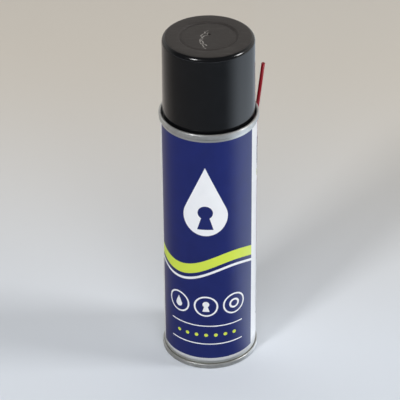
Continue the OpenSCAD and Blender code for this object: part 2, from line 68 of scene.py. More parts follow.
def rounded_wire(bm, corners, closed=False):
    """A wire in the XZ plane through corners given as radius, height and rounding."""
    verts = [bm.verts.new((radius, 0, height)) for radius, height, _ in corners]
    ends = verts[1:] + verts[:1] if closed else verts[1:]
    for start, end in zip(verts, ends):
        bm.edges.new((start, end))
    for vert, (_, _, rounding) in zip(verts, corners):
        if rounding:
            arms = [edge.other_vert(vert).co - vert.co for edge in vert.link_edges]
            turn = math.pi - arms[0].angle(arms[1])
            bmesh.ops.bevel(
                bm, geom=[vert], offset=rounding * math.tan(turn / 2), affect="VERTICES",
                segments=max(2, round(turn * 5)), profile=0.5, material=-1)


def spin_round(bm, steps=ROUND_STEPS):
    """Turns a wire in the XZ plane about the Z axis into a closed skin."""
    bmesh.ops.spin(
        bm, geom=bm.verts[:] + bm.edges[:], cent=(0, 0, 0), axis=(0, 0, 1), dvec=(0, 0, 0),
        angle=math.tau, steps=steps, use_merge=True)
    bmesh.ops.remove_doubles(bm, verts=bm.verts[:], dist=0.001)
    bmesh.ops.recalc_face_normals(bm, faces=bm.faces[:])


def into_scene(bm, name, material, sharp_degrees=38):
    """Makes an object in metres of a mesh in millimetres, smooth between its sharp edges."""
    bmesh.ops.scale(bm, vec=(MM, MM, MM), verts=bm.verts[:])
    for face in bm.faces:
        face.smooth = True
    mesh = bpy.data.meshes.new(name)
    bm.to_mesh(mesh)
    bm.free()
    mesh.set_sharp_from_angle(angle=math.radians(sharp_degrees))
    mesh.materials.append(material)
    piece = bpy.data.objects.new(name, mesh)
    bpy.context.scene.collection.objects.link(piece)
    return piece


def pressed_sheet(name, path, thickness, material):
    """A round pressing: the path at mid sheet, turned about the axis and given its thickness."""
    bm = bmesh.new()
    rounded_wire(bm, path)
    spin_round(bm)
    piece = into_scene(bm, name, material)
    sheet = piece.modifiers.new("sheet", "SOLIDIFY")
    sheet.thickness = thickness * MM
    sheet.offset = 0
    sheet.use_even_offset = True
    return piece


def linear(hex_colour):
    """The linear colour of an sRGB hex value."""
    parts = [int(hex_colour[i:i + 2], 16) / 255 for i in (1, 3, 5)]
    return [p / 12.92 if p <= 0.04045 else ((p + 0.055) / 1.055) ** 2.4 for p in parts] + [1]


def add(tree, kind, inputs=(), **settings):
    """Adds one node; inputs go by order or by name, as values or sockets. Gives its first output."""
    node = tree.nodes.new("ShaderNode" + kind)
    for name, value in settings.items():
        setattr(node, name, value)
    sockets = [socket for socket in node.inputs if socket.enabled]
    by_name = {socket.name: socket for socket in sockets}
    pairs = inputs.items() if isinstance(inputs, dict) else enumerate(inputs)
    for key, value in pairs:
        socket = sockets[key] if isinstance(key, int) else by_name[key]
        if isinstance(value, bpy.types.NodeSocket):
            tree.links.new(value, socket)
        else:
            socket.default_value = value
    return next((socket for socket in node.outputs if socket.enabled), None)


def start_material(name):
    """An empty node material, with the socket of its object coordinates in metres."""
    material = bpy.data.materials.new(name)
    material.use_nodes = True
    tree = material.node_tree
    tree.nodes.clear()
    return material, tree, add(tree, "TexCoord").node.outputs["Object"]


def tinplate(name, light, dark, smooth, rough):
    """Rolled steel with bright tin: a soft grey mirror with faint rings from press and rolls."""
    material, tree, place = start_material(name)
    ring_mm, blotch_mm = 0.35, 4
    across = add(tree, "VectorMath", [place, (1, 1, 0)], operation="MULTIPLY")
    radius = add(tree, "VectorMath", [across], operation="LENGTH").node.outputs["Value"]
    height = add(tree, "SeparateXYZ", [place]).node.outputs["Z"]
    turned = add(tree, "CombineXYZ", [radius, 0, height])
    rings = add(tree, "TexNoise", {"Vector": turned, "Scale": 1 / (ring_mm * MM), "Detail": 3})
    blotch = add(tree, "TexNoise", {"Vector": place, "Scale": 1 / (blotch_mm * MM), "Detail": 4})
    tone = add(tree, "Math", [rings, blotch], operation="MULTIPLY")
    tone = add(tree, "MapRange", [tone, 0.12, 0.42, 0, 1])
    metal = add(tree, "Mix", {"Factor": tone, "A": linear(dark), "B": linear(light)}, data_type="RGBA")
    gloss = add(tree, "MapRange", [tone, 0, 1, rough, smooth])
    bump = add(tree, "Bump", {"Height": rings, "Strength": 0.25, "Distance": 0.02 * MM})
    shader = add(tree, "BsdfPrincipled", {
        "Base Color": metal, "Metallic": 0.75, "Roughness": gloss, "Normal": bump})
    add(tree, "OutputMaterial", {"Surface": shader})
    return material


body_t = 0.22
body_low, body_high = box_mm("can_body")
label_low, label_high = box_mm("printed_label")
print_stack = 0.1
body_r = label_high.x - print_stack
body_mid_r = body_r - body_t / 2
hook_mid_r = body_high.x - body_t / 2
hook_l = 1.8
hook_bend = (hook_mid_r - body_mid_r) / 2
body_path = [
    (hook_mid_r, body_low.z + body_t / 2 + hook_l, 0),
    (hook_mid_r, body_low.z + body_t / 2, hook_bend),
    (body_mid_r, body_low.z + body_t / 2, hook_bend),
    (body_mid_r, body_high.z - body_t / 2, hook_bend),
    (hook_mid_r, body_high.z - body_t / 2, hook_bend),
    (hook_mid_r, body_high.z - body_t / 2 - hook_l, 0),
]
body_tin = tinplate("body_tinplate", "#b4b4aa", "#83837a", 0.3, 0.45)
can_tube = pressed_sheet("can_tube", body_path, body_t, body_tin)
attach(can_tube, "can")
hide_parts("can_body")


# Bottom end
# A concave tinplate pressing, double-seamed over the body's lower hook. The can stands on the
# crown of that seam, and the rolled wall of the seam is the grey ring at its foot.
end_t = 0.33
bottom_low, bottom_high = box_mm("bottom_end")
seam_h = 3.1
seam_mid_r = bottom_high.x - end_t / 2
end_hook_r = body_r + end_t / 2
chuck_r = body_r - body_t - end_t / 2
fold_bend = (seam_mid_r - end_hook_r) / 2
arch_bend = (seam_mid_r - chuck_r) / 2
end_hook_l = 1.5
bottom_slope = math.radians(26)
knee_z = 4.05
knee_bend = 1.2
panel_z = bottom_high.z - end_t / 2
panel_edge_r = chuck_r - (panel_z - knee_z) / math.tan(bottom_slope)
panel_sweep = 45
bottom_path = [
    (end_hook_r, seam_h - end_hook_l, 0),
    (end_hook_r, seam_h - end_t / 2, fold_bend),
    (seam_mid_r, seam_h - end_t / 2, fold_bend),
    (seam_mid_r, end_t / 2, arch_bend),
    (chuck_r, end_t / 2, arch_bend),
    (chuck_r, knee_z, knee_bend),
    (panel_edge_r, panel_z, panel_sweep),
    (0, panel_z, 0),
]
seam_tin = tinplate("seam_tinplate", "#d2d3d3", "#aeafae", 0.28, 0.42)
can_bottom = pressed_sheet("can_bottom", bottom_path, end_t, seam_tin)
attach(can_bottom, "can")
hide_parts("bottom_end")


# Top dome
# A tinplate pressing, double-seamed over the body's upper hook. Inside the seam it dips into the
# countersink that takes the cap's plug, then rises to the rolled curl of the valve opening.
dome_low, dome_high = box_mm("top_dome")
can_h = body_high.z + (body_low.z - bottom_low.z)
sink_z = dome_low.z + end_t / 2
sink_bend = 1.3
foot_slope = math.radians(62)
neck_slope = math.radians(25)
opening_r = 12.7
neck_r = opening_r + end_t / 2
curl_bend = 1.3
curl_z = dome_high.z - end_t / 2
curl_end_z = curl_z - 2 * curl_bend
neck_h, neck_fillet = 1.2, 1
foot_r = chuck_r - sink_bend * (1 + math.tan(foot_slope / 2))
neck_knee_z = curl_z - curl_bend - neck_h - neck_fillet * math.tan((math.pi / 2 - neck_slope) / 2)
run = foot_r - neck_r
rise = neck_knee_z - sink_z
steep_run = (rise - run * math.tan(neck_slope)) / (math.tan(foot_slope) - math.tan(neck_slope))
brow_r = foot_r - steep_run
brow_z = sink_z + steep_run * math.tan(foot_slope)
dome_sweep = 20
dome_path = [
    (end_hook_r, can_h - seam_h + end_hook_l, 0),
    (end_hook_r, can_h - seam_h + end_t / 2, fold_bend),
    (seam_mid_r, can_h - seam_h + end_t / 2, fold_bend),
    (seam_mid_r, can_h - end_t / 2, arch_bend),
    (chuck_r, can_h - end_t / 2, arch_bend),
    (chuck_r, sink_z, sink_bend),
    (foot_r, sink_z, sink_bend),
    (brow_r, brow_z, dome_sweep),
    (neck_r, neck_knee_z, neck_fillet),
    (neck_r, curl_z, curl_bend),
    (neck_r + 2 * curl_bend, curl_z, curl_bend),
    (neck_r + 2 * curl_bend, curl_end_z, curl_bend),
    (neck_r + curl_bend, curl_end_z, 0),
]
can_top = pressed_sheet("can_top", dome_path, end_t, seam_tin)
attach(can_top, "can")
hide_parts("top_dome")


# Seam compound
# A thin ring of rubber compound, flowed into each end before it is seamed. It is shut inside the
# folds, so the pieces keep the shape of the construction.
compound, tree, place = start_material("latex_seam_compound")
# Cured latex is matt and slightly mottled
grain = add(tree, "TexNoise", {"Vector": place, "Scale": 1 / (0.6 * MM), "Detail": 5})
tone = add(tree, "Mix", {
    "Factor": grain, "A": linear("#7d8278"), "B": linear("#a2a79b")}, data_type="RGBA")
bump = add(tree, "Bump", {"Height": grain, "Strength": 0.4, "Distance": 0.03 * MM})
shader = add(tree, "BsdfPrincipled", {"Base Color": tone, "Roughness": 0.8, "Normal": bump})
add(tree, "OutputMaterial", {"Surface": shader})


def dress(node, material):
    """Gives a CAD node its material."""
    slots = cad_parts[node].data.materials
    slots.clear()
    slots.append(material)


dress("top_seam_compound", compound)
dress("bottom_seam_compound", compound)


# Printed label
# The print and varnish on the body: a navy front panel on a white ground, with a white drop and
# keyhole, lime and white waves, three round signs and fine rules. The back is white with framed
# signs, and bare tin shows along the weld and in the strips beside the seams.
label_t = 0.08
label_edge = 0.02
bm = bmesh.new()
rounded_wire(bm, [
    (label_high.x, label_low.z, label_edge),
    (label_high.x, label_high.z, label_edge),
    (label_high.x - label_t, label_high.z, 0),
    (label_high.x - label_t, label_low.z, 0),
], closed=True)
spin_round(bm)

litho, tree, place = start_material("litho_print_on_tinplate")
# Flat coordinates of the print in millimetres: u round the can from the middle of the front, v up
unrolled = add(tree, "Mapping", {
    "Vector": place, "Rotation": (0, 0, math.pi / 2), "Scale": (1 / MM, 1 / MM, 1 / MM)})
unrolled = add(tree, "SeparateXYZ", [unrolled]).node
turn = add(tree, "Math", [unrolled.outputs["Y"], unrolled.outputs["X"]], operation="ARCTAN2")
u = add(tree, "Math", [turn, label_high.x], operation="MULTIPLY")
v = unrolled.outputs["Z"]
flat = add(tree, "CombineXYZ", [u, v, 0])


def bar(centre_u, centre_v, width, height):
    """Mask of a plain bar of the print."""
    wide = add(tree, "Math", [u, centre_u, width / 2], operation="COMPARE")
    high = add(tree, "Math", [v, centre_v, height / 2], operation="COMPARE")
    return add(tree, "Math", [wide, high], operation="MULTIPLY")


def disc(centre_u, centre_v, radius):
    """Mask of a round spot."""
    away = add(tree, "VectorMath", [flat, (centre_u, centre_v, 0)], operation="DISTANCE")
    return add(tree, "Math", [away.node.outputs["Value"], radius], operation="LESS_THAN")


def ring(centre_u, centre_v, radius, stroke):
    """Mask of a round outline."""
    away = add(tree, "VectorMath", [flat, (centre_u, centre_v, 0)], operation="DISTANCE")
    return add(tree, "Math", [away.node.outputs["Value"], radius, stroke / 2], operation="COMPARE")


def wedge(centre_u, tip_v, spread, low_v, high_v):
    """Mask of a wedge that widens down from its tip, between two heights."""
    drop = add(tree, "Math", [tip_v, v], operation="SUBTRACT")
    half = add(tree, "Math", [drop, spread], operation="MULTIPLY")
    side = add(tree, "Math", [u, centre_u], operation="SUBTRACT")
    side = add(tree, "Math", [side], operation="ABSOLUTE")
    inside = add(tree, "Math", [side, half], operation="LESS_THAN")
    middle, reach = (low_v + high_v) / 2, (high_v - low_v) / 2
    high = add(tree, "Math", [v, middle, reach], operation="COMPARE")
    return add(tree, "Math", [inside, high], operation="MULTIPLY")


def joined(*masks):
    """Where any of the masks is."""
    whole = masks[0]
    for mask in masks[1:]:
        whole = add(tree, "Math", [whole, mask], operation="MAXIMUM")
    return whole


def drop_sign(centre_u, centre_v, radius):
    """Mask of a drop: a round foot under a tip, with straight sides that leave the foot smoothly."""
    tip = radius * 2.5
    slant = math.asin(radius / tip)
    touch_v = centre_v + radius * math.sin(slant)
    sides = wedge(centre_u, centre_v + tip, math.tan(slant), touch_v, centre_v + tip)
    return joined(disc(centre_u, centre_v, radius), sides)


def keyhole_sign(centre_u, centre_v, radius):
    """Mask of a keyhole: a round eye over a flared foot."""
    flare, foot_l = 0.3, 2.6 * radius
    foot = wedge(centre_u, centre_v + radius, flare, centre_v - foot_l, centre_v)
    return joined(disc(centre_u, centre_v, radius), foot)


panel_u, panel_w = -0.9, 62.8
panel_low, panel_high = 7.05, 150.2
panel = bar(panel_u, (panel_low + panel_high) / 2, panel_w, panel_high - panel_low)
coat_low, coat_high = 5.1, panel_high
coated = add(tree, "Math", [
    v, (coat_low + coat_high) / 2, (coat_high - coat_low) / 2], operation="COMPARE")

drop_v, drop_r = 103, 12.5
wave_v, wave_l, wave_swing = 71, 65.4, 4.5
phase = add(tree, "Math", [u, math.tau / wave_l], operation="MULTIPLY")
swell = add(tree, "Math", [phase], operation="SINE")
crest = add(tree, "Math", [swell, wave_swing, wave_v], operation="MULTIPLY_ADD")
lime_wave_h, white_wave_h, wave_gap = 6.4, 1.6, 6.4
lime = add(tree, "Math", [v, crest, lime_wave_h / 2], operation="COMPARE")
under = add(tree, "Math", [crest, wave_gap], operation="SUBTRACT")
white_wave = add(tree, "Math", [v, under, white_wave_h / 2], operation="COMPARE")


def ringed_signs(drop_place, keyhole_place, ring_place):
    """Masks of a small drop, a keyhole and a ring, each in a round outline."""
    outline_r, outline_w, off_centre = 6.4, 1, 1.4
    drop_r, keyhole_r, inner_r, inner_w = 2.1, 1.9, 2.6, 1.2
    outlines = [ring(*spot, outline_r, outline_w) for spot in (drop_place, keyhole_place, ring_place)]
    return outlines + [
        drop_sign(drop_place[0], drop_place[1] - off_centre, drop_r),
        keyhole_sign(keyhole_place[0], keyhole_place[1] + off_centre, keyhole_r),
        ring(*ring_place, inner_r, inner_w),
    ]


sign_v, sign_step = 43, 16.5
signs = ringed_signs((-sign_step, sign_v), (0, sign_v), (sign_step, sign_v))
rule_w, rule_h = 44, 0.7
rules = [bar(0, rule_v, rule_w, rule_h) for rule_v in (29.5, 17)]
dot_v, dot_r, dot_step = 23.2, 1.1, 5.5
dots = [disc(dot_step * k, dot_v, dot_r) for k in range(-3, 4)]
white = joined(drop_sign(0, drop_v, drop_r), white_wave, *signs, *rules)
keyhole_v, keyhole_r = drop_v + 2.5, 4.2
keyhole = keyhole_sign(0, keyhole_v, keyhole_r)
lime = joined(lime, *dots)

# The back has one design on both sides of the weld, so u starts again at the middle of each side
side_u, weld_u, weld_strip, weld_w = 57, math.pi * label_high.x, 2.2, 0.5
round_u = add(tree, "Math", [u], operation="ABSOLUTE")
beside_weld = add(tree, "Math", [round_u, weld_u - weld_strip], operation="LESS_THAN")
coated = add(tree, "Math", [coated, beside_weld], operation="MULTIPLY")
weld = add(tree, "Math", [round_u, weld_u, weld_w], operation="COMPARE")
u = add(tree, "Math", [round_u, side_u], operation="SUBTRACT")
flat = add(tree, "CombineXYZ", [u, v, 0])
block_w, block_h, block_v = 36, 18, 131
block_drop_v, block_drop_r = block_v - 2.5, 3.4
block_drop = drop_sign(0, block_drop_v, block_drop_r)
header = add(tree, "Math", [bar(0, block_v, block_w, block_h), block_drop], operation="SUBTRACT")
border_v, border_h, border_line = 67, 90, 0.7
border_in = bar(0, border_v, block_w - 2 * border_line, border_h - 2 * border_line)
border = add(tree, "Math", [bar(0, border_v, block_w, border_h), border_in], operation="SUBTRACT")
back_signs = ringed_signs((0, 84), (0, 101), (0, 67))
back_rule_w = 26
back_rules = [bar(0, rule_v, back_rule_w, rule_h) for rule_v in (55, 51.5, 48, 44.5, 41)]
back_navy = joined(header, border, *back_signs, *back_rules)
back_dot_v = 31.5
back_dots = [disc(dot_step * k, back_dot_v, dot_r) for k in range(-2, 3)]
band_v, band_h = 117.5, 4
back_lime = joined(bar(0, band_v, block_w, band_h), *back_dots)

# Printing ink over white enamel: even colour, a satin varnish, and enamel that goes darker towards the
# foot
mottle = add(tree, "TexNoise", {"Vector": place, "Scale": 1 / (7 * MM), "Detail": 5})
navy = add(tree, "Mix", {
    "Factor": mottle, "A": linear("#0d1a5b"), "B": linear("#12216b")}, data_type="RGBA")
enamel = add(tree, "Mix", {
    "Factor": mottle, "A": linear("#e6e8ec"), "B": linear("#f2f3f5")}, data_type="RGBA")
# The enamel is blended towards grey, darker towards the foot of the can
darker_to_foot = add(tree, "MapRange", [v, 4, 11, 0.6, 0])
enamel = add(tree, "Mix", {"Factor": darker_to_foot, "A": enamel, "B": linear("#6b6c6c")}, data_type="RGBA")
ink = add(tree, "Mix", {"Factor": white, "A": navy, "B": enamel}, data_type="RGBA")
ink = add(tree, "Mix", {"Factor": keyhole, "A": ink, "B": navy}, data_type="RGBA")
lime_ink = add(tree, "Mix", {
    "Factor": mottle, "A": linear("#cbdd42"), "B": linear("#d3e54e")}, data_type="RGBA")
ink = add(tree, "Mix", {"Factor": lime, "A": ink, "B": lime_ink}, data_type="RGBA")
back = add(tree, "Mix", {"Factor": back_navy, "A": enamel, "B": navy}, data_type="RGBA")
back = add(tree, "Mix", {"Factor": back_lime, "A": back, "B": lime_ink}, data_type="RGBA")
ink = add(tree, "Mix", {"Factor": panel, "A": back, "B": ink}, data_type="RGBA")
tin = add(tree, "Mix", {
    "Factor": weld, "A": linear("#c8cac8"), "B": linear("#77756d")}, data_type="RGBA")
ink = add(tree, "Mix", {"Factor": coated, "A": tin, "B": ink}, data_type="RGBA")
metal = add(tree, "Math", [coated, -0.75, 0.75], operation="MULTIPLY_ADD")
peel = add(tree, "TexNoise", {"Vector": place, "Scale": 1 / (0.9 * MM), "Detail": 2})
bump = add(tree, "Bump", {"Height": peel, "Strength": 0.2, "Distance": 0.01 * MM})
smear = add(tree, "TexNoise", {"Vector": place, "Scale": 1 / (14 * MM), "Detail": 6})
gloss = add(tree, "MapRange", [smear, 0.15, 0.85, 0.285, 0.345])
shader = add(tree, "BsdfPrincipled", {
    "Base Color": ink, "Metallic": metal, "Roughness": gloss, "IOR": 1.5, "Normal": bump})
add(tree, "OutputMaterial", {"Surface": shader})

printed_skin = into_scene(bm, "printed_skin", litho)
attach(printed_skin, "can")
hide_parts("printed_label")


# Valve cup
# The one-inch tinplate cup that closes the can: a pedestal that grips the valve, a wall swaged out
# under the dome's neck, and a channel crimped over its curl. An epoxy lacquer warms its colour.
cup_t = 0.28
cup_low, cup_high = box_mm("mounting_cup")
housing_high = box_mm("valve_housing")[1]
washer_low = box_mm("stem_gasket")[0]
cup_hole_r, housing_gap, neck_gap = 2.1, 0.02, 0.06
pedestal_r = housing_high.x + housing_gap + cup_t / 2
pedestal_z = cup_high.z - cup_t / 2
pedestal_rise, pedestal_bend, pedestal_foot = 1.5, 0.7, 0.9
clinch_z, clinch_reach, clinch_in = washer_low.z - 3.5, 1, 0.45
cup_floor_z = cup_low.z + cup_t / 2
cup_wall_r = opening_r - neck_gap - cup_t / 2
cup_corner = 1
swage_reach, swage_out = 1.2, 0.6
swage_z = curl_z - curl_bend - neck_h - neck_fillet - swage_reach
dent_bend = 1.2
channel_r = cup_high.x - cup_t / 2
channel_z = cup_high.z - pedestal_rise - cup_t / 2
channel_bend = (channel_r - cup_wall_r) / 2
cup_lip = 0.6
cup_lip_z = curl_z - curl_bend - cup_lip
cup_path = [
    (cup_hole_r, pedestal_z, 0),
    (pedestal_r, pedestal_z, pedestal_bend),
    (pedestal_r, clinch_z + clinch_reach, dent_bend),
    (pedestal_r - clinch_in, clinch_z, dent_bend / 2),
    (pedestal_r, clinch_z - clinch_reach, dent_bend),
    (pedestal_r, cup_floor_z, pedestal_foot),
    (cup_wall_r, cup_floor_z, cup_corner),
    (cup_wall_r, swage_z - swage_reach, 0),
    (cup_wall_r + swage_out, swage_z, dent_bend / 2),
    (cup_wall_r, swage_z + swage_reach, dent_bend),
    (cup_wall_r, channel_z, channel_bend),
    (channel_r, channel_z, channel_bend),
    (channel_r, cup_lip_z, 0),
]
cup_tin = tinplate("lacquered_tinplate", "#d8d1bc", "#b3ab95", 0.2, 0.32)
valve_cup = pressed_sheet("valve_cup", cup_path, cup_t, cup_tin)
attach(valve_cup, "can")
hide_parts("mounting_cup")


# Valve gaskets
# A buna rubber ring under the cup's channel and a washer round the stem. Both are squeezed
# between metal and plastic, so they keep the shape of the construction.
rubber, tree, place = start_material("buna_rubber")
# Cut from sheet: dull, near black, with a fine talc bloom
bloom = add(tree, "TexNoise", {"Vector": place, "Scale": 1 / (0.8 * MM), "Detail": 6})
tone = add(tree, "Mix", {
    "Factor": bloom, "A": linear("#191a1b"), "B": linear("#3b3d3e")}, data_type="RGBA")
gloss = add(tree, "MapRange", [bloom, 0.3, 0.7, 0.6, 0.85])
bump = add(tree, "Bump", {"Height": bloom, "Strength": 0.3, "Distance": 0.02 * MM})
shader = add(tree, "BsdfPrincipled", {"Base Color": tone, "Roughness": gloss, "Normal": bump})
add(tree, "OutputMaterial", {"Surface": shader})
dress("cup_gasket", rubber)
dress("stem_gasket", rubber)


# Valve housing and stem
# Two acetal mouldings: the housing is clinched in the pedestal, and the hollow stem slides in it
# and carries the button. Only the stem's neck shows, between the pedestal and the button.
acetal, tree, place = start_material("natural_acetal")
# Natural acetal is a waxy off-white that lets a little light in
haze = add(tree, "TexNoise", {"Vector": place, "Scale": 1 / (2.5 * MM), "Detail": 4})
tone = add(tree, "Mix", {
    "Factor": haze, "A": linear("#dcd9cf"), "B": linear("#eeece4")}, data_type="RGBA")
gloss = add(tree, "MapRange", [haze, 0.3, 0.7, 0.3, 0.42])
bump = add(tree, "Bump", {"Height": haze, "Strength": 0.15, "Distance": 0.02 * MM})
shader = add(tree, "BsdfPrincipled", {
    "Base Color": tone, "Roughness": gloss, "Subsurface Weight": 0.2,
    "Subsurface Radius": (0.001, 0.001, 0.0008), "Normal": bump})
add(tree, "OutputMaterial", {"Surface": shader})
dress("valve_housing", acetal)
dress("valve_stem", acetal)


# Valve spring
# A stainless coil spring between the housing's floor and the stem's shoulder. It shortens as the
# button is pressed, so it squashes towards the floor that it stands on.
spring_low, spring_high = box_mm("valve_spring")
wire_r = 0.25
coil_r = spring_high.x - wire_r
coil_turns, turn_steps = 6, 28
coil_rise = spring_high.z - spring_low.z - 2 * wire_r
bm = bmesh.new()
section = Matrix.Translation((coil_r, 0, spring_low.z + wire_r)) @ Matrix.Rotation(math.pi / 2, 4, "X")
bmesh.ops.create_circle(bm, cap_ends=False, radius=wire_r, segments=12, matrix=section)
bmesh.ops.spin(
    bm, geom=bm.verts[:] + bm.edges[:], cent=(0, 0, 0), axis=(0, 0, 1),
    dvec=(0, 0, coil_rise / (coil_turns * turn_steps)), angle=math.tau * coil_turns,
    steps=coil_turns * turn_steps, use_merge=False)
bmesh.ops.holes_fill(bm, edges=[edge for edge in bm.edges if edge.is_boundary])
bmesh.ops.recalc_face_normals(bm, faces=bm.faces[:])

wire, tree, place = start_material("drawn_stainless_wire")
# Wire drawn through a die: bright, with fine streaks and a little wax from the coiling
streak = add(tree, "TexNoise", {"Vector": place, "Scale": 1 / (0.15 * MM), "Detail": 3})
tone = add(tree, "Mix", {
    "Factor": streak, "A": linear("#a4a7ab"), "B": linear("#d0d2d4")}, data_type="RGBA")
gloss = add(tree, "MapRange", [streak, 0.3, 0.7, 0.22, 0.36])
shader = add(tree, "BsdfPrincipled", {"Base Color": tone, "Metallic": 1, "Roughness": gloss})
add(tree, "OutputMaterial", {"Surface": shader})

coil_spring = into_scene(bm, "coil_spring", wire)
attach(coil_spring, "can")
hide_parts("valve_spring")
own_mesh(coil_spring)


# Dip tube
# An extruded polyethylene tube, pushed over the housing's tail and cut just above the can's
# bottom. It is inside the can, so it keeps the shape of the construction.
dip_pe, tree, place = start_material("natural_polyethylene")
# Natural polyethylene is a cloudy white with faint lines along the extrusion
lines = add(tree, "Mapping", {
    "Vector": place, "Scale": (1 / (0.3 * MM), 1 / (0.3 * MM), 1 / (40 * MM))})
lines = add(tree, "TexNoise", {"Vector": lines, "Scale": 1, "Detail": 3})
tone = add(tree, "Mix", {
    "Factor": lines, "A": linear("#d9d8cc"), "B": linear("#eeede4")}, data_type="RGBA")
bump = add(tree, "Bump", {"Height": lines, "Strength": 0.2, "Distance": 0.02 * MM})
shader = add(tree, "BsdfPrincipled", {
    "Base Color": tone, "Roughness": 0.45, "Transmission Weight": 0.25, "Normal": bump})
add(tree, "OutputMaterial", {"Surface": shader})
dress("dip_tube", dip_pe)


# Spray button
# A white polypropylene moulding pressed on the stem. A finger hollow crosses its crown, and a flat
# on its front holds the nozzle insert in a round pocket.
button_low, button_high = box_mm("spray_button")
insert_low, insert_high = box_mm("nozzle_insert")
stem_high = box_mm("valve_stem")[1]
nozzle_z = (insert_low.z + insert_high.z) / 2
button_r, crown_r = button_high.x, 6.2
crown_z, crown_edge = nozzle_z + 5.2, 1
crown_cuts = 14
finger_r, finger_depth = 11, 1.5
stem_gap, insert_gap = 0.05, 0.02
bore_r, bore_lead, foot_round = 2.05, 0.2, 0.35
bore_top = stem_high.z + stem_gap
insert_r = insert_high.x
pocket_r = insert_r + insert_gap
bm = bmesh.new()
rounded_wire(bm, [
    (0, bore_top, 0),
    (bore_r, bore_top, 0),
    (bore_r, button_low.z, bore_lead),
    (button_r, button_low.z, foot_round),
    (crown_r, crown_z, crown_edge),
    (0, crown_z, 0),
])
crown = next(vert for vert in bm.verts if vert.co.x == 0 and vert.co.z > nozzle_z)
bmesh.ops.subdivide_edges(bm, edges=crown.link_edges[:], cuts=crown_cuts)
spin_round(bm)
for vert in bm.verts:
    if vert.co.z > nozzle_z:
        hollow_z = crown_z - finger_depth + finger_r - math.sqrt(finger_r ** 2 - vert.co.y ** 2)
        vert.co.z = min(vert.co.z, hollow_z)
bmesh.ops.bisect_plane(
    bm, geom=bm.verts[:] + bm.edges[:] + bm.faces[:], dist=0.0001, plane_co=(0, insert_low.y, 0),
    plane_no=(0, -1, 0), clear_outer=True)
flat_rim = [edge for edge in bm.edges if edge.is_boundary]
front = Matrix.Translation((0, insert_low.y, nozzle_z)) @ Matrix.Rotation(math.pi / 2, 4, "X")
mouth = bmesh.ops.create_circle(bm, cap_ends=False, radius=pocket_r, segments=48, matrix=front)
mouth_rim = list({edge for vert in mouth["verts"] for edge in vert.link_edges})
bmesh.ops.bridge_loops(bm, edges=flat_rim + mouth_rim)
pocket = bmesh.ops.extrude_edge_only(bm, edges=mouth_rim)["geom"]
pocket_verts = [part for part in pocket if isinstance(part, bmesh.types.BMVert)]
bmesh.ops.translate(bm, verts=pocket_verts, vec=(0, insert_high.y - insert_low.y, 0))
bmesh.ops.holes_fill(bm, edges=[edge for edge in bm.edges if edge.is_boundary])
bmesh.ops.recalc_face_normals(bm, faces=bm.faces[:])

white_pp, tree, place = start_material("white_polypropylene")
# Moulded white polypropylene: satin, with a fine spark grain that softens its highlights
spark = add(tree, "TexNoise", {"Vector": place, "Scale": 1 / (0.25 * MM), "Detail": 3})
cloud = add(tree, "TexNoise", {"Vector": place, "Scale": 1 / (5 * MM), "Detail": 4})
tone = add(tree, "Mix", {
    "Factor": cloud, "A": linear("#e2e2dd"), "B": linear("#eeeeea")}, data_type="RGBA")
gloss = add(tree, "MapRange", [spark, 0.3, 0.7, 0.36, 0.5])
bump = add(tree, "Bump", {"Height": spark, "Strength": 0.25, "Distance": 0.02 * MM})
shader = add(tree, "BsdfPrincipled", {
    "Base Color": tone, "Roughness": gloss, "Subsurface Weight": 0.15,
    "Subsurface Radius": (0.001, 0.001, 0.0008), "Normal": bump})
add(tree, "OutputMaterial", {"Surface": shader})

button_moulding = into_scene(bm, "button_moulding", white_pp)
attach(button_moulding, "button")
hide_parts("spray_button")


# Nozzle insert
# A small acetal insert pressed into the button's front. Its socket takes the snorkel, and the
# spray hole opens at the socket's end.
socket_r, socket_depth, socket_lead, spray_r = 1, 2.8, 0.2, 0.3
face_round, root_round = 0.15, 0.1
insert_front, insert_back = -insert_low.y, -insert_high.y
bm = bmesh.new()
rounded_wire(bm, [
    (spray_r, insert_back, 0),
    (insert_r, insert_back, root_round),
    (insert_r, insert_front, face_round),
    (socket_r, insert_front, socket_lead),
    (socket_r, insert_front - socket_depth, 0),
    (spray_r, insert_front - socket_depth, 0),
], closed=True)
spin_round(bm, steps=64)
bmesh.ops.rotate(bm, cent=(0, 0, 0), matrix=Matrix.Rotation(math.pi / 2, 3, "X"), verts=bm.verts[:])
bmesh.ops.translate(bm, verts=bm.verts[:], vec=(0, 0, nozzle_z))
nozzle_socket = into_scene(bm, "nozzle_socket", acetal)
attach(nozzle_socket, "button")
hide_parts("nozzle_insert")


# Overcap
# A black polypropylene moulding that plugs into the top seam. It has a drafted wall, a shallow
# disc with a groove round it and the gate mark near its middle, and a snap bead on the plug.
cap_low, cap_high = box_mm("overcap")
rim_in_r = chuck_r - end_t / 2
rim_gap, lip_rise, cap_draft = 0.5, 1.5, 0.33
lip_r = rim_in_r - rim_gap
lip_z = can_h + lip_rise
cap_top_r = lip_r - cap_draft
cap_edge, lip_round, mould_round = 2.7, 0.25, 0.1
cap_wall, cap_top_t = 1.2, 1.3
disc_r, disc_depth, disc_ramp = 15.2, 0.4, 0.9
groove_w, groove_depth, groove_round = 1.3, 0.45, 0.3
disc_z = cap_high.z - disc_depth
gate_r, gate_depth, gate_place = 0.9, 0.5, (0.2, 2.3, 0)
plug_step, plug_t, plug_root, bead_gap = 0.5, 1, 0.5, 0.12
plug_r = lip_r - plug_step
plug_lead = plug_t / 4
bead_r = rim_in_r - bead_gap - plug_r
bead_z = cap_low.z + plug_lead + bead_r
plug_in_r = plug_r - plug_t
ceiling_r = cap_top_r - cap_wall
ceiling_z = disc_z - cap_top_t
bm = bmesh.new()
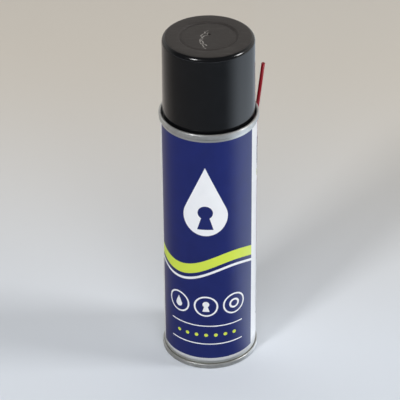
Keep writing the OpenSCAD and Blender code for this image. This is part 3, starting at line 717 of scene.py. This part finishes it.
rounded_wire(bm, [
    (0, disc_z - gate_depth, 0),
    (gate_r, disc_z - gate_depth, mould_round),
    (gate_r, disc_z, mould_round),
    (disc_r - groove_w, disc_z, groove_round),
    (disc_r, disc_z - groove_depth, groove_round),
    (disc_r + disc_ramp, cap_high.z, groove_round),
    (cap_top_r, cap_high.z, cap_edge),
    (lip_r, lip_z, lip_round),
    (plug_r, lip_z, mould_round),
    (plug_r, bead_z + bead_r, 0),
    (plug_r + bead_r, bead_z + bead_r, bead_r),
    (plug_r + bead_r, bead_z - bead_r, bead_r),
    (plug_r, bead_z - bead_r, 0),
    (plug_r, cap_low.z, plug_lead),
    (plug_in_r, cap_low.z, mould_round),
    (plug_in_r, lip_z, plug_root),
    (ceiling_r, ceiling_z, cap_edge - cap_wall),
    (0, ceiling_z, 0),
])
spin_round(bm)
gate_reach, gate_low = gate_r + 2 * mould_round, ceiling_z + mould_round
gate = [vert for vert in bm.verts if vert.co.xy.length < gate_reach and vert.co.z > gate_low]
bmesh.ops.translate(bm, verts=gate, vec=gate_place)

black_pp, tree, place = start_material("black_polypropylene")
# Moulded black polypropylene: a glossy wall and edge, and a dull grained top that is rubbed and
# scuffed, with the top's colour lighter as a painted sheen
across = add(tree, "VectorMath", [place, (1, 1, 0)], operation="MULTIPLY")
radius = add(tree, "VectorMath", [across], operation="LENGTH").node.outputs["Value"]
dull_overlap, gloss_fade = 0.6, 0.8
dull_r = cap_top_r - cap_edge + dull_overlap
gloss_r = dull_r + gloss_fade
top = add(tree, "MapRange", [radius, dull_r * MM, gloss_r * MM, 1, 0])
cloud = add(tree, "TexNoise", {"Vector": place, "Scale": 1 / (9 * MM), "Detail": 5})
grain = add(tree, "TexNoise", {"Vector": place, "Scale": 1 / (0.35 * MM), "Detail": 3})
drag = add(tree, "Mapping", {
    "Vector": place, "Scale": (1 / (0.8 * MM), 1 / (0.8 * MM), 1 / (30 * MM))})
drag = add(tree, "TexNoise", {"Vector": drag, "Scale": 1, "Detail": 2})
wall_gloss = add(tree, "MapRange", [cloud, 0.3, 0.7, 0.14, 0.2])
top_gloss = add(tree, "MapRange", [grain, 0.3, 0.7, 0.51, 0.66])
gloss = add(tree, "Mix", {"Factor": top, "A": wall_gloss, "B": top_gloss}, data_type="FLOAT")
wall_black = add(tree, "Mix", {
    "Factor": cloud, "A": linear("#0a0b0d"), "B": linear("#0f1013")}, data_type="RGBA")
# The top gets a lighter colour than the wall: partly its dull grain, partly a painted sheen standing in
# for light from above
top_black_and_sheen = add(tree, "Mix", {
    "Factor": cloud, "A": linear("#272321"), "B": linear("#312d2b")}, data_type="RGBA")
black = add(tree, "Mix", {"Factor": top, "A": wall_black, "B": top_black_and_sheen}, data_type="RGBA")

# Pale scratches wander from behind the gate mark towards the front
turned = add(tree, "Mapping", {
    "Vector": place, "Rotation": (0, 0, math.radians(-5)), "Scale": (1 / MM, 1 / MM, 1 / MM)})
turned = add(tree, "SeparateXYZ", [turned]).node
side, ahead = turned.outputs["X"], turned.outputs["Y"]
fleck = add(tree, "TexNoise", {"Vector": place, "Scale": 1 / (1.1 * MM), "Detail": 3})
fleck = add(tree, "MapRange", [fleck, 0.34, 0.54, 0.2, 0.8])


def scratch(start, length, swing, seed):
    """Mask of one scratch that bows to the left as it runs forwards."""
    bow_share, wander_mm, core_mm, fade_mm = 0.93, 2.2, 0.08, 0.46
    along = add(tree, "MapRange", {
        "Value": ahead, "From Min": start, "From Max": start - length}, clamp=False)
    bend = add(tree, "Math", [along, bow_share * math.pi], operation="MULTIPLY")
    bend = add(tree, "Math", [bend], operation="SINE")
    bend = add(tree, "Math", [bend, swing, side], operation="MULTIPLY_ADD")
    shifted = add(tree, "Math", [ahead, seed], operation="ADD")
    wander = add(tree, "TexNoise", {"W": shifted, "Scale": 0.3, "Detail": 1}, noise_dimensions="1D")
    wander = add(tree, "MapRange", [wander, 0, 1, -wander_mm, wander_mm])
    away = add(tree, "Math", [bend, wander], operation="ADD")
    away = add(tree, "Math", [away], operation="ABSOLUTE")
    line = add(tree, "MapRange", [away, core_mm, fade_mm, 1, 0])
    within = add(tree, "Math", [along, 0.5, 0.5], operation="COMPARE")
    line = add(tree, "Math", [line, within], operation="MULTIPLY")
    return add(tree, "Math", [line, fleck], operation="MULTIPLY")


scratches = joined(scratch(6.5, 19.5, 4.4, 0), scratch(4, 14, 3.4, 40))
rub = add(tree, "Mapping", {
    "Vector": place, "Rotation": (0, 0, 0.6), "Scale": (1 / (9 * MM), 1 / (0.5 * MM), 1 / (9 * MM))})
rub = add(tree, "TexNoise", {"Vector": rub, "Scale": 1, "Detail": 4})
rub = add(tree, "MapRange", [rub, 0.58, 0.75, 0, 0.1])
wear = joined(scratches, rub)
wear = add(tree, "Math", [wear, top], operation="MULTIPLY")
black = add(tree, "Mix", {"Factor": wear, "A": black, "B": linear("#a5a19c")}, data_type="RGBA")
relief = add(tree, "Mix", {"Factor": top, "A": drag, "B": grain}, data_type="FLOAT")
bump = add(tree, "Bump", {"Height": relief, "Strength": 0.2, "Distance": 0.03 * MM})
shader = add(tree, "BsdfPrincipled", {
    "Base Color": black, "Roughness": gloss, "IOR": 1.49, "Normal": bump})
add(tree, "OutputMaterial", {"Surface": shader})

cap_moulding = into_scene(bm, "cap_moulding", black_pp)
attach(cap_moulding, "cap")
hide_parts("overcap")


# Snorkel
# An extruded red polyethylene tube that plugs into the nozzle. It lies along the can, bends out
# round the top seam and leans away from the cap, with both ends cut square.
snorkel_low = box_mm("snorkel")[0]
tube_r, tube_wall = 1, 0.4
tube_angle, tube_lean = math.radians(25.5), math.radians(7.2)
tube_sides, bend_cuts = 28, 10
tube_rise = 25.5
print_gap, seam_gap = 0.1, 0.1
tube_place = label_high.x + print_gap + tube_r
rim_place = bottom_high.x + seam_gap + tube_r
tube_bend = (rim_place - tube_place) / (1 - math.cos(tube_lean))
bend_z = can_h - seam_h - tube_bend * math.sin(tube_lean)
bm = bmesh.new()
foot = Matrix.Translation((tube_place, 0, snorkel_low.z))
bmesh.ops.create_circle(bm, cap_ends=False, radius=tube_r, segments=tube_sides, matrix=foot)
run = bmesh.ops.extrude_edge_only(bm, edges=bm.edges[:])["geom"]
run_verts = [part for part in run if isinstance(part, bmesh.types.BMVert)]
bmesh.ops.translate(bm, verts=run_verts, vec=(0, 0, bend_z - snorkel_low.z))
run_end = [part for part in run if not isinstance(part, bmesh.types.BMFace)]
run_end = [part for part in run_end if isinstance(part, bmesh.types.BMVert) or part.is_boundary]
lean = bmesh.ops.spin(
    bm, geom=run_end, cent=(tube_place + tube_bend, 0, bend_z), axis=(0, 1, 0), dvec=(0, 0, 0),
    angle=tube_lean, steps=bend_cuts, use_merge=False)["geom_last"]
lean_rim = [part for part in lean if isinstance(part, bmesh.types.BMEdge)]
tip = bmesh.ops.extrude_edge_only(bm, edges=lean_rim)["geom"]
tip_verts = [part for part in tip if isinstance(part, bmesh.types.BMVert)]
bmesh.ops.translate(
    bm, verts=tip_verts, vec=(tube_rise * math.sin(tube_lean), 0, tube_rise * math.cos(tube_lean)))
bmesh.ops.rotate(bm, cent=(0, 0, 0), matrix=Matrix.Rotation(tube_angle, 3, "Z"), verts=bm.verts[:])
bmesh.ops.recalc_face_normals(bm, faces=bm.faces[:])

red_pe, tree, place = start_material("red_polyethylene")
# Extruded red polyethylene: waxy and slightly see-through, with die lines along the tube
lines = add(tree, "Mapping", {
    "Vector": place, "Scale": (1 / (0.25 * MM), 1 / (0.25 * MM), 1 / (35 * MM))})
lines = add(tree, "TexNoise", {"Vector": lines, "Scale": 1, "Detail": 3})
tone = add(tree, "Mix", {
    "Factor": lines, "A": linear("#8b0618"), "B": linear("#a10b1f")}, data_type="RGBA")
gloss = add(tree, "MapRange", [lines, 0.3, 0.7, 0.28, 0.4])
bump = add(tree, "Bump", {"Height": lines, "Strength": 0.2, "Distance": 0.02 * MM})
shader = add(tree, "BsdfPrincipled", {
    "Base Color": tone, "Roughness": gloss, "IOR": 1.5, "Subsurface Weight": 0.25,
    "Subsurface Radius": (0.0015, 0.0003, 0.0003), "Normal": bump})
add(tree, "OutputMaterial", {"Surface": shader})

snorkel_tube = into_scene(bm, "snorkel_tube", red_pe)
wall = snorkel_tube.modifiers.new("wall", "SOLIDIFY")
wall.thickness = tube_wall * MM
wall.offset = -1
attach(snorkel_tube, "snorkel")
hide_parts("snorkel")


# Snorkel tape
# A length of clear polypropylene tape that holds the snorkel to the can. It bridges from the
# tube to the print on both sides, and its ends have the teeth of the cutter.
tape_low, tape_high = box_mm("snorkel_tape")
tape_t, tape_l, tape_lift = 0.1, 30, 0.08
tape_r = label_high.x + tape_lift + tape_t / 2
hump_r = tube_r + tape_lift + tape_t / 2
tape_slope = math.acos((tape_r - hump_r) / tube_place)
tape_reach = tape_l / 2 / tape_r
tooth_h, tooth_depth = 1, 0.5
tape_rows = round((tape_high.z - tape_low.z) / tooth_h)
tape_cuts, hump_cuts = 10, 12


def last_vert(spun):
    """The vertex at the end of a spin that started from one vertex."""
    return next(part for part in spun["geom_last"] if isinstance(part, bmesh.types.BMVert))


bm = bmesh.new()
start = bm.verts.new((tape_r * math.cos(tape_reach), -tape_r * math.sin(tape_reach), tape_low.z))
side = bmesh.ops.spin(
    bm, geom=[start], cent=(0, 0, 0), axis=(0, 0, 1), angle=tape_reach - tape_slope, steps=tape_cuts)
lift = bm.verts.new((
    tube_place + hump_r * math.cos(tape_slope), -hump_r * math.sin(tape_slope), tape_low.z))
bm.edges.new((last_vert(side), lift))
hump = bmesh.ops.spin(
    bm, geom=[lift], cent=(tube_place, 0, 0), axis=(0, 0, 1), angle=2 * tape_slope, steps=hump_cuts)
land = bm.verts.new((tape_r * math.cos(tape_slope), tape_r * math.sin(tape_slope), tape_low.z))
bm.edges.new((last_vert(hump), land))
bmesh.ops.spin(
    bm, geom=[land], cent=(0, 0, 0), axis=(0, 0, 1), angle=tape_reach - tape_slope, steps=tape_cuts)
bmesh.ops.spin(
    bm, geom=bm.verts[:] + bm.edges[:], cent=(0, 0, 0), axis=(0, 0, 1), angle=0, steps=tape_rows,
    dvec=(0, 0, (tape_high.z - tape_low.z) / tape_rows))
for vert in bm.verts:
    turn = math.atan2(vert.co.y, vert.co.x)
    row = round((vert.co.z - tape_low.z) / tooth_h)
    if abs(abs(turn) - tape_reach) < 0.001 and row % 2:
        back = Matrix.Rotation(-math.copysign(tooth_depth / tape_r, turn), 3, "Z")
        vert.co = back @ vert.co
bmesh.ops.rotate(bm, cent=(0, 0, 0), matrix=Matrix.Rotation(tube_angle, 3, "Z"), verts=bm.verts[:])
bmesh.ops.recalc_face_normals(bm, faces=bm.faces[:])

clear_pp, tree, place = start_material("clear_polypropylene_film")
# Clear film: glossy, almost invisible on the print, hazed by trapped air where the glue is thin
haze = add(tree, "TexNoise", {"Vector": place, "Scale": 1 / (5 * MM), "Detail": 4})
cover = add(tree, "MapRange", [haze, 0.35, 0.75, 0.1, 0.26])
gloss = add(tree, "MapRange", [haze, 0.3, 0.7, 0.1, 0.2])
tone = add(tree, "Mix", {
    "Factor": haze, "A": linear("#d5dadd"), "B": linear("#eef1f2")}, data_type="RGBA")
bump = add(tree, "Bump", {"Height": haze, "Strength": 0.2, "Distance": 0.05 * MM})
shader = add(tree, "BsdfPrincipled", {
    "Base Color": tone, "Roughness": gloss, "IOR": 1.49, "Alpha": cover, "Normal": bump})
add(tree, "OutputMaterial", {"Surface": shader})

holding_tape = into_scene(bm, "holding_tape", clear_pp)
film = holding_tape.modifiers.new("film", "SOLIDIFY")
film.thickness = tape_t * MM
film.offset = 0
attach(holding_tape, "snorkel")
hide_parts("snorkel_tape")


# Stage
# A plain pale floor under a soft sky, a wide front light, a small lamp, a side window, and the camera
# at the photograph's place. A round card on the floor, grey to white, shows only in reflections.
bm = bmesh.new()
floor_reach = 3000
bmesh.ops.create_grid(bm, x_segments=1, y_segments=1, size=floor_reach)
paper, tree, place = start_material("floor_paper")
depth = add(tree, "SeparateXYZ", [place]).node.outputs["Y"]
far = add(tree, "MapRange", [depth, -0.05, 0.35, 0, 1], interpolation_type="SMOOTHSTEP")
tone = add(tree, "Mix", {
    "Factor": far, "A": linear("#d6dce4"), "B": linear("#d6d0c6")}, data_type="RGBA")
shader = add(tree, "BsdfPrincipled", {"Base Color": tone, "Roughness": 0.9})
add(tree, "OutputMaterial", {"Surface": shader})
floor = into_scene(bm, "floor", paper)

bm = bmesh.new()
card_r, card_z = 900, 0.5
bmesh.ops.create_circle(
    bm, cap_ends=True, radius=card_r, segments=48, matrix=Matrix.Translation((0, 0, card_z)))
# The card glows and is no lamp: its emission, dim on the left, bright on the right and fading behind,
# paints reflections onto the can and lights nothing else
reflection_glow, tree, place = start_material("reflected_card")
place = add(tree, "SeparateXYZ", [place]).node
front = add(tree, "Math", [place.outputs["Y"], -1], operation="MULTIPLY")
heading = add(tree, "Math", [place.outputs["X"], front], operation="ARCTAN2")
dim = add(tree, "MapRange", [heading, -2.5, -1.5, 0.66, 0.26])
bright = add(tree, "MapRange", [heading, 0.7, 1.5, 0, 1.35], interpolation_type="SMOOTHSTEP")
fall = add(tree, "MapRange", [heading, 1.6, 2.4, 0, 0.8])
glow = add(tree, "Math", [dim, bright], operation="ADD")
glow = add(tree, "Math", [glow, fall], operation="SUBTRACT")
cool = add(tree, "MapRange", [heading, -1.6, 0.6, 0, 1])
tint = add(tree, "Mix", {
    "Factor": cool, "A": linear("#f2e9e1"), "B": linear("#e2edf8")}, data_type="RGBA")
glow = add(tree, "Emission", {"Color": tint, "Strength": glow})
add(tree, "OutputMaterial", {"Surface": glow})
card = into_scene(bm, "reflected_card", reflection_glow)
card.visible_camera = False
card.visible_diffuse = False
card.visible_shadow = False
card.visible_transmission = False

scene = bpy.context.scene
scene.view_settings.view_transform = "Standard"
world = bpy.data.worlds.new("soft_sky")
world.use_nodes = True
tree = world.node_tree
tree.nodes.clear()
heading = add(tree, "TexCoord").node.outputs["Generated"]
back = add(tree, "VectorMath", [heading, (0, 1, -0.6)], operation="DOT_PRODUCT").node.outputs["Value"]
glow = add(tree, "MapRange", [back, -0.4, 0.4, 0.08, 0.76], interpolation_type="SMOOTHSTEP")
sky = add(tree, "Background", {"Color": linear("#f4f1ec"), "Strength": glow})
add(tree, "OutputWorld", {"Surface": sky})
scene.world = world


def area_light(name, place, aim, size, power):
    """A square soft light that faces a point."""
    lamp = bpy.data.lights.new(name, "AREA")
    lamp.size = size
    lamp.energy = power
    light = bpy.data.objects.new(name, lamp)
    light.location = place
    light.rotation_euler = (Vector(aim) - Vector(place)).to_track_quat("-Z", "Y").to_euler()
    scene.collection.objects.link(light)
    return light


front_light = area_light("front_light", (0.2, -1.4, 1.4), (0, 0, 0.1), 1.4, 17.5)
front_light.visible_glossy = False
area_light("small_lamp", (-0.66, -1.02, 1.1), (0, 0, 0.2), 0.26, 9.5)
area_light("side_window", (4.2, -0.1, 2.4), (0, 0, 0.1), 1.2, 104)

distance, eye_h = 0.9654, 0.7339
pitch, swing, roll = (math.radians(degrees) for degrees in (33.42, 5, -0.353))
camera = bpy.data.cameras.new("camera")
camera.lens = 188.76
camera.shift_x = -0.0233
eye = bpy.data.objects.new("camera", camera)
stand = Matrix.Translation((distance * math.sin(swing), -distance * math.cos(swing), eye_h))
turn = Matrix.Rotation(swing, 4, "Z") @ Matrix.Rotation(math.pi / 2 - pitch, 4, "X")
eye.matrix_world = stand @ turn @ Matrix.Rotation(roll, 4, "Z")
scene.collection.objects.link(eye)
scene.camera = eye
